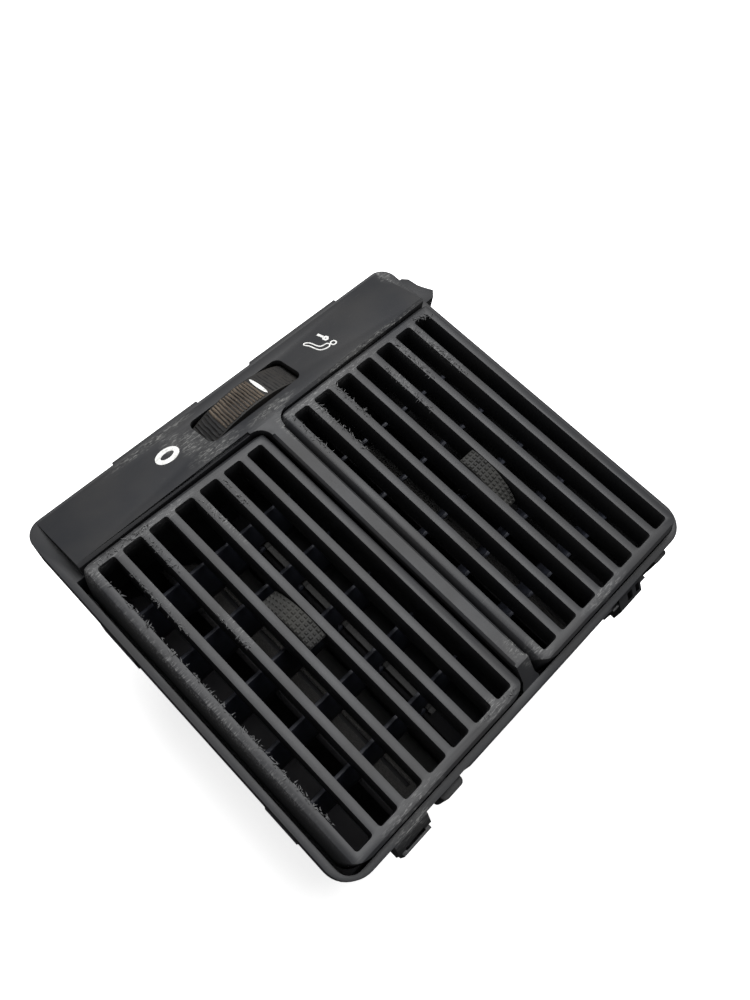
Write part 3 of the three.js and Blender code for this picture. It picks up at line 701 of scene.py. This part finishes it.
def on_rim(x, y, height):
    """Plan x runs round the rim and plan y across it, in millimetres."""
    y_world = rim_middle + y * mm
    radius = rim_radius - (y_world - rim_start) * math.tan(rim_lean) + height * mm
    angle = x * mm / rim_radius
    return wheel_place @ Vector((radius * math.sin(angle), y_world, radius * math.cos(angle)))


mark_half, mark_width = 4.3, 0.70
mark_points = [(0, mark_half * (i / 6 - 1)) for i in range(13)]
mark_widths = [0.06 + mark_width * (1 - (y / mark_half) ** 2) ** 0.6 for _, y in mark_points]
mark = ribbon("wheel_mark", [(mark_points, mark_widths, False)],
              lambda x, y, h: on_rim(x, y, h + 0.02), 0.36)
fit(mark, "thumbwheel", white_print, "wheel_plastic")

# ------------------------------------------------------------------ bezel
# One charcoal moulding: rim, sloping control band, centre bar, clips and hook. It is
# scuffed round the thumbwheel window and along the band's inner edge, and dusty in places.

bezel_plastic = plastic(
    "bezel_charcoal", (0.027, 0.028, 0.031), (0.17, 0.17, 0.165), 0.42, 0.35, 0.22,
    scuffs=[((-21, 57, 84), (7, 8, 6)), ((-18, 50, 86), (12, 4, 5)), ((4, 49, 87), (12, 2.4, 4)),
            ((-53, -70, 78), (10, 3, 6)), ((-30, 68, 81), (20, 2, 4)), ((3, 40, 88), (2.5, 9, 3)),
            ((2, -58, 86), (4, 7, 5)), ((74, 66, 81), (4, 8, 5)), ((46, 46.6, 87), (30, 1.1, 4)),
            ((-26, 62, 83), (5, 6, 5))])
fit(moulded("bezel", 0.35 * mm), "vent_body", bezel_plastic, "bezel_plastic", "bezel")

# ------------------------------------------------------------------ marks on the band
# Two white pad-printed marks: a ring for closed, and a seated figure with an arrow at its
# chest for open. Each is a thin raised film on the sloping band.

band_edge, band_rim = 46.2, 70.0
band_rise, rim_height = 8.0, 80.0


def on_band(x, y, height):
    """A point above the sloping band, in millimetres, as a place in metres."""
    slope = band_rise / (band_rim - band_edge)
    z = rim_height + slope * (band_rim - y)
    out = Vector((0, slope, 1)).normalized() * (height + 0.01)
    return (Vector((x, y, z)) + out) * mm


def oval(cx, cy, rx, ry, steps=40):
    turns = [2 * math.pi * i / steps for i in range(steps)]
    return [(cx + rx * math.cos(turn), cy + ry * math.sin(turn)) for turn in turns]


film = 0.06
ring_outline, ring_half_width = oval(-30.2, 59.6, 3.35, 2.1), 0.88
ring = ribbon("closed_mark", [(ring_outline, ring_half_width, True)], on_band, film)
fit(ring, "vent_body", white_print, "bezel_plastic")


def rounded(points, rounds=2):
    """Cuts the corners of a closed outline until it runs smoothly."""
    for _ in range(rounds):
        cut = []
        for i, a in enumerate(points):
            b = points[(i + 1) % len(points)]
            cut.append((a[0] * 0.75 + b[0] * 0.25, a[1] * 0.75 + b[1] * 0.25))
            cut.append((a[0] * 0.25 + b[0] * 0.75, a[1] * 0.25 + b[1] * 0.75))
        points = cut
    return points


# The figure's own plan: u runs from its feet to its head, v out of its chest.
figure_turn = math.radians(-40.5)
figure_centre = Vector((34.6, 58.7))


def figure_plan(points):
    c, s = math.cos(figure_turn), math.sin(figure_turn)
    return [(figure_centre.x + u * c - v * s, figure_centre.y + u * s + v * c) for u, v in points]


seated_body = rounded([
    (-5.4, 1.0), (-3.3, 1.0), (-0.6, -1.5), (0.8, -1.6), (2.2, -0.5), (3.4, -0.9), (3.2, -2.4),
    (0.7, -3.5), (-1.0, -3.0), (-3.6, -0.5), (-5.3, -0.1)])
arrow_head = [(0.9, 2.3), (2.6, 0.9), (2.9, 3.1)]
outline_half_width = 0.24
figure = ribbon("open_mark", [
    (figure_plan(seated_body), outline_half_width, True),
    (figure_plan(oval(4.6, -0.6, 0.95, 0.95, 24)), outline_half_width, True),
    (figure_plan([(-0.5, 4.5), (0.7, 3.5), (1.6, 2.7)]), 0.5, False),
    (figure_plan(rounded(arrow_head, 1)), 0.42, True)], on_band, film)
fit(figure, "vent_body", white_print, "bezel_plastic")

# ------------------------------------------------------------------ louvre frames
# Each frame is one charcoal moulding with barrel-shaped sides and six slats. Fingers and
# cleaning have rubbed the slats grey, most of all at the ends beside the band.

louvre_scuffs = [
    ((-70, 42, 87), (7, 7, 8)), ((-50, 43, 88), (22, 3, 8)), ((-59, 22, 88), (3, 12, 8)),
    ((-50, 2, 88), (3, 10, 8)), ((-72, -10, 87), (2.0, 52, 8)), ((-50, -66, 88), (14, 3, 8)),
    ((-14, -64, 86), (9, 4, 6)), ((-31, 30, 87), (3, 16, 6)), ((24, 43, 87), (30, 3, 5)),
    ((14, 38, 87), (6, 7, 5)), ((62, 30, 87), (3, 16, 5)), ((53, 33, 87), (3, 10, 5)),
    ((44, 28, 87), (3, 8, 5)), ((7, -62, 87), (5, 5, 5)), ((35, -65, 87), (12, 2.5, 5))]
louvre_plastic = plastic(
    "louvre_charcoal", (0.031, 0.032, 0.035), (0.15, 0.15, 0.15), 0.40, 0.4, 0.2,
    scuffs=louvre_scuffs)
for side in ("left", "right"):
    node = side + "_louvre_frame"
    fit(moulded(node, 0.3 * mm), side + "_louvre", louvre_plastic, "louvre_plastic", node)


def burrs_tree(name):
    """Slivers of torn plastic strewn along a straight edge, set by named sizes."""
    tree = bpy.data.node_groups.new(name, "GeometryNodeTree")
    for socket, kind in (
            ("Start", "NodeSocketVector"), ("End", "NodeSocketVector"), ("Count", "NodeSocketInt"),
            ("Seed", "NodeSocketInt"), ("Length", "NodeSocketFloat"),
            ("Thickness", "NodeSocketFloat"), ("Spread", "NodeSocketFloat"),
            ("Material", "NodeSocketMaterial")):
        tree.interface.new_socket(socket, in_out="INPUT", socket_type=kind)
    tree.interface.new_socket("Geometry", in_out="OUTPUT", socket_type="NodeSocketGeometry")
    given = tree.nodes.new("NodeGroupInput")
    result = tree.nodes.new("NodeGroupOutput")

    def chance(kind, lowest, highest, salt):
        node = tree.nodes.new("FunctionNodeRandomValue")
        node.data_type = kind
        for socket, value in zip([s for s in node.inputs if s.enabled], (lowest, highest)):
            socket.default_value = value
        seed = tree.nodes.new("ShaderNodeMath")
        seed.inputs[1].default_value = salt
        wire(tree, (given.outputs["Seed"], seed.inputs[0]), (seed.outputs[0], node.inputs["Seed"]))
        return [s for s in node.outputs if s.enabled][0]

    along = tree.nodes.new("ShaderNodeMix")
    along.data_type = "VECTOR"
    ends = [s for s in along.inputs if s.enabled]
    stray = tree.nodes.new("ShaderNodeVectorMath")
    stray.operation = "SCALE"
    spot = tree.nodes.new("ShaderNodeVectorMath")
    points = tree.nodes.new("GeometryNodePoints")
    sliver = tree.nodes.new("GeometryNodeMeshCone")
    sliver.inputs["Vertices"].default_value = 4
    sliver.inputs["Radius Top"].default_value = 0.01 * mm
    put = tree.nodes.new("GeometryNodeInstanceOnPoints")
    real = tree.nodes.new("GeometryNodeRealizeInstances")
    finish = tree.nodes.new("GeometryNodeSetMaterial")
    wire(tree,
         (chance("FLOAT", 0.0, 1.0, 0), ends[0]), (given.outputs["Start"], ends[1]),
         (given.outputs["End"], ends[2]),
         (chance("FLOAT_VECTOR", (-1, -1, -1), (1, 1, 1), 1), stray.inputs[0]),
         (given.outputs["Spread"], stray.inputs["Scale"]),
         ([s for s in along.outputs if s.enabled][0], spot.inputs[0]),
         (stray.outputs[0], spot.inputs[1]), (given.outputs["Count"], points.inputs["Count"]),
         (spot.outputs[0], points.inputs["Position"]),
         (given.outputs["Thickness"], sliver.inputs["Radius Bottom"]),
         (given.outputs["Length"], sliver.inputs["Depth"]),
         (points.outputs[0], put.inputs["Points"]),
         (sliver.outputs["Mesh"], put.inputs["Instance"]),
         (chance("FLOAT_VECTOR", (0, 0, 0), (6.3, 6.3, 6.3), 2), put.inputs["Rotation"]),
         (chance("FLOAT", 0.4, 1.3, 3), put.inputs["Scale"]),
         (put.outputs[0], real.inputs["Geometry"]), (real.outputs[0], finish.inputs["Geometry"]),
         (given.outputs["Material"], finish.inputs["Material"]),
         (finish.outputs[0], result.inputs["Geometry"]))
    return tree


torn_plastic = plastic(
    "torn_charcoal", (0.115, 0.116, 0.12), (0.22, 0.22, 0.22), 0.7, 0.3, 0.6,
    dust_colour=(0.20, 0.20, 0.195), shine=0.1)
burrs = burrs_tree("edge_burrs")
face_up = 10.8
# side, number of slivers, then the edge's two ends across and along the frame, in millimetres
torn_edges = (
    ("left", 56, (-31.2, 38), (-31.2, 4)), ("left", 154, (-31.2, 4), (-31.2, -56)),
    ("left", 64, (-25.0, 34), (-25.0, 8)), ("left", 56, (-14.6, 40), (-14.6, 26)),
    ("left", 34, (-15.4, 8), (-15.4, -6)), ("left", 70, (-31, 43.5), (-12, 43.5)),
    ("left", 34, (4.8, 41), (4.8, 30)), ("left", 34, (18, -64.8), (31, -64.8)),
    ("left", 42, (14.0, 41), (14.0, 28)), ("right", 84, (-22.6, 41), (-22.6, 18)),
    ("right", 62, (-13.4, 41), (-13.4, 24)), ("right", 126, (23.4, 41), (23.4, 15)),
    ("right", 84, (13.8, 41), (13.8, 22)), ("right", 84, (4.2, 38), (4.2, 14)),
    ("right", 56, (-32, 43), (-32, 24)), ("right", 56, (26, 43.5), (33, 40)))
for number, (side, count, start, end) in enumerate(torn_edges):
    frame_place = (
        Matrix.Translation(Vector(joints[side + "_tilt"]["pos_m"]))
        @ Matrix.Rotation(rest_angle(side + "_tilt"), 4, "Y"))
    shreds = grown(f"{side}_torn_edge_{number + 1}", burrs, {
        "Start": Vector((*start, face_up)) * mm, "End": Vector((*end, face_up)) * mm,
        "Count": count, "Seed": 10 * number, "Length": 1.3 * mm, "Thickness": 0.2 * mm,
        "Spread": 0.55 * mm, "Material": torn_plastic}, frame_place)
    fit(shreds, side + "_louvre", torn_plastic, "louvre_plastic")

# ------------------------------------------------------------------ tilt bushes
# Small rings of pressed felt take up the play round the frames' pivot stubs and keep a
# set angle from drifting.


def felt_material():
    material = bpy.data.materials.new("pressed_felt")
    material.use_nodes = True
    tree = material.node_tree
    shader = tree.nodes["Principled BSDF"]
    place = tree.nodes.new("ShaderNodeTexCoord").outputs["Object"]
    fibres = noise(tree, place, 2200, 6, 0.75)
    tone = tree.nodes.new("ShaderNodeValToRGB")
    tone.color_ramp.elements[0].color = (0.12, 0.115, 0.10, 1)
    tone.color_ramp.elements[1].color = (0.40, 0.38, 0.34, 1)
    bump = tree.nodes.new("ShaderNodeBump")
    bump.inputs["Strength"].default_value = 0.8
    bump.inputs["Distance"].default_value = 0.1 * mm
    wire(tree, (fibres, tone.inputs["Fac"]), (tone.outputs["Color"], shader.inputs["Base Color"]),
         (fibres, bump.inputs["Height"]), (bump.outputs["Normal"], shader.inputs["Normal"]))
    shader.inputs["Roughness"].default_value = 0.95
    return material


felt = felt_material()
for side in ("left", "right"):
    for end in ("lower", "upper"):
        node = side + "_" + end + "_bush"
        fit(moulded(node, 0.12 * mm), "vent_body", felt, "bush_felt", node)

# ------------------------------------------------------------------ cross vanes and links
# Five black vanes turn across each frame. A pale bar clipped over their rear pins makes
# them turn as one.

vane_plastic = plastic(
    "vane_black", (0.017, 0.019, 0.027), (0.09, 0.09, 0.105), 0.42, 0.7, 0.22,
    dust_colour=(0.03, 0.03, 0.036))
dark_link = plastic(
    "vane_link_grey", (0.018, 0.018, 0.018), (0.06, 0.06, 0.06), 0.45, 0.3, 0.3,
    dust_colour=(0.03, 0.028, 0.025), shine=0.2)
for side in ("left", "right"):
    for number in range(1, 6):
        node = f"{side}_vane_{number}"
        fit(moulded(node, 0.12 * mm), node, vane_plastic, "vane_plastic", node)
    node = side + "_vane_link"
    fit(moulded(node, 0.15 * mm), node, dark_link, "link_plastic", node)

# ------------------------------------------------------------------ steering knobs
# A curved knob rides on each middle vane and looks out between two slats. Its crown is
# knurled in a grid of blunt pyramids, grey-green with dust.


crown_share = 0.42  # how much of a pyramid's foot is left at its blunt top


def knurl_tree(name):
    """A grid of four-sided blunt pyramids over an arc about the X axis, set by named sizes."""
    tree = bpy.data.node_groups.new(name, "GeometryNodeTree")
    sizes = (
        ("Columns", "NodeSocketInt"), ("Rows", "NodeSocketInt"), ("Across", "NodeSocketFloat"),
        ("Arc", "NodeSocketFloat"), ("Radius", "NodeSocketFloat"), ("Foot", "NodeSocketFloat"),
        ("Height", "NodeSocketFloat"), ("Stretch", "NodeSocketFloat"),
        ("Material", "NodeSocketMaterial"))
    for socket, kind in sizes:
        tree.interface.new_socket(socket, in_out="INPUT", socket_type=kind)
    tree.interface.new_socket("Geometry", in_out="OUTPUT", socket_type="NodeSocketGeometry")
    given = tree.nodes.new("NodeGroupInput")
    result = tree.nodes.new("NodeGroupOutput")
    grid = tree.nodes.new("GeometryNodeMeshGrid")
    here = tree.nodes.new("GeometryNodeInputPosition")
    split = tree.nodes.new("ShaderNodeSeparateXYZ")

    def calc(operation, first, second=None):
        node = tree.nodes.new("ShaderNodeMath")
        node.operation = operation
        tree.links.new(first, node.inputs[0])
        if isinstance(second, float):
            node.inputs[1].default_value = second
        elif second is not None:
            tree.links.new(second, node.inputs[1])
        return node.outputs[0]

    wire(tree, (given.outputs["Across"], grid.inputs["Size X"]),
         (given.outputs["Arc"], grid.inputs["Size Y"]),
         (given.outputs["Columns"], grid.inputs["Vertices X"]),
         (given.outputs["Rows"], grid.inputs["Vertices Y"]), (here.outputs[0], split.inputs[0]))
    angle = split.outputs["Y"]
    y = calc("MULTIPLY", calc("SINE", angle), given.outputs["Radius"])
    z = calc("MULTIPLY", calc("COSINE", angle), given.outputs["Radius"])
    spot = tree.nodes.new("ShaderNodeCombineXYZ")
    bend = tree.nodes.new("GeometryNodeSetPosition")
    store = tree.nodes.new("GeometryNodeStoreNamedAttribute")
    store.data_type = "FLOAT"
    store.inputs["Name"].default_value = "row_angle"
    recall = tree.nodes.new("GeometryNodeInputNamedAttribute")
    recall.data_type = "FLOAT"
    recall.inputs["Name"].default_value = "row_angle"
    turned = tree.nodes.new("ShaderNodeCombineXYZ")
    tooth = tree.nodes.new("GeometryNodeMeshCone")
    tooth.inputs["Vertices"].default_value = 4
    square = tree.nodes.new("GeometryNodeTransform")
    square.inputs["Rotation"].default_value = (0, 0, math.pi / 4)
    stretched = tree.nodes.new("GeometryNodeTransform")
    stretch = tree.nodes.new("ShaderNodeCombineXYZ")
    stretch.inputs["X"].default_value = 1
    stretch.inputs["Z"].default_value = 1
    blunted = tree.nodes.new("FunctionNodeRandomValue")
    blunted.data_type = "FLOAT"
    for socket, value in zip([s for s in blunted.inputs if s.enabled], (0.72, 1.06)):
        socket.default_value = value
    blunted.inputs["Seed"].default_value = 11
    put = tree.nodes.new("GeometryNodeInstanceOnPoints")
    real = tree.nodes.new("GeometryNodeRealizeInstances")
    finish = tree.nodes.new("GeometryNodeSetMaterial")
    wire(tree,
         (split.outputs["X"], spot.inputs["X"]), (y, spot.inputs["Y"]), (z, spot.inputs["Z"]),
         (grid.outputs["Mesh"], store.inputs["Geometry"]), (angle, store.inputs["Value"]),
         (store.outputs["Geometry"], bend.inputs["Geometry"]),
         (spot.outputs[0], bend.inputs["Position"]),
         (calc("MULTIPLY", recall.outputs["Attribute"], -1.0), turned.inputs["X"]),
         (given.outputs["Foot"], tooth.inputs["Radius Bottom"]),
         (calc("MULTIPLY", given.outputs["Foot"], crown_share), tooth.inputs["Radius Top"]),
         (given.outputs["Height"], tooth.inputs["Depth"]),
         (tooth.outputs["Mesh"], square.inputs["Geometry"]),
         (square.outputs[0], stretched.inputs["Geometry"]),
         (given.outputs["Stretch"], stretch.inputs["Y"]),
         (stretch.outputs[0], stretched.inputs["Scale"]),
         (bend.outputs[0], put.inputs["Points"]), (stretched.outputs[0], put.inputs["Instance"]),
         (turned.outputs[0], put.inputs["Rotation"]), (put.outputs[0], real.inputs["Geometry"]),
         ([s for s in blunted.outputs if s.enabled][0], put.inputs["Scale"]),
         (real.outputs[0], finish.inputs["Geometry"]),
         (given.outputs["Material"], finish.inputs["Material"]),
         (finish.outputs[0], result.inputs["Geometry"]))
    return tree


knob_plastic = plastic(
    "knob_charcoal", (0.021, 0.021, 0.021), (0.10, 0.10, 0.095), 0.6, 0.6, 0.5,
    dust_colour=(0.065, 0.064, 0.056))
knurl = knurl_tree("knob_knurl")
knob_radius, knob_width, knob_half_arc = 21.2 * mm, 6.2 * mm, math.radians(31)
for side in ("left", "right"):
    node = side + "_vane_knob"
    body = side + "_vane_3"
    fit(moulded(node, 0.25 * mm), body, knob_plastic, "knob_plastic", node)
    pivot = Vector(joints[side + "_vane_3_turn"]["pos_m"])
    knob_place = (
        Matrix.Translation(pivot)
        @ Matrix.Rotation(rest_angle(side + "_tilt"), 4, "Y")
        @ Matrix.Rotation(rest_angle(side + "_vane_3_turn"), 4, "X"))
    teeth = grown(side + "_knob_knurl", knurl, {
        "Columns": 4, "Rows": 13, "Across": knob_width - 1.5 * mm,
        "Arc": 2 * knob_half_arc - 0.09, "Radius": knob_radius - 0.1 * mm, "Foot": 0.98 * mm,
        "Height": 0.6 * mm, "Stretch": 1.15, "Material": knob_plastic}, knob_place)
    fit(teeth, body, knob_plastic, "knob_plastic")
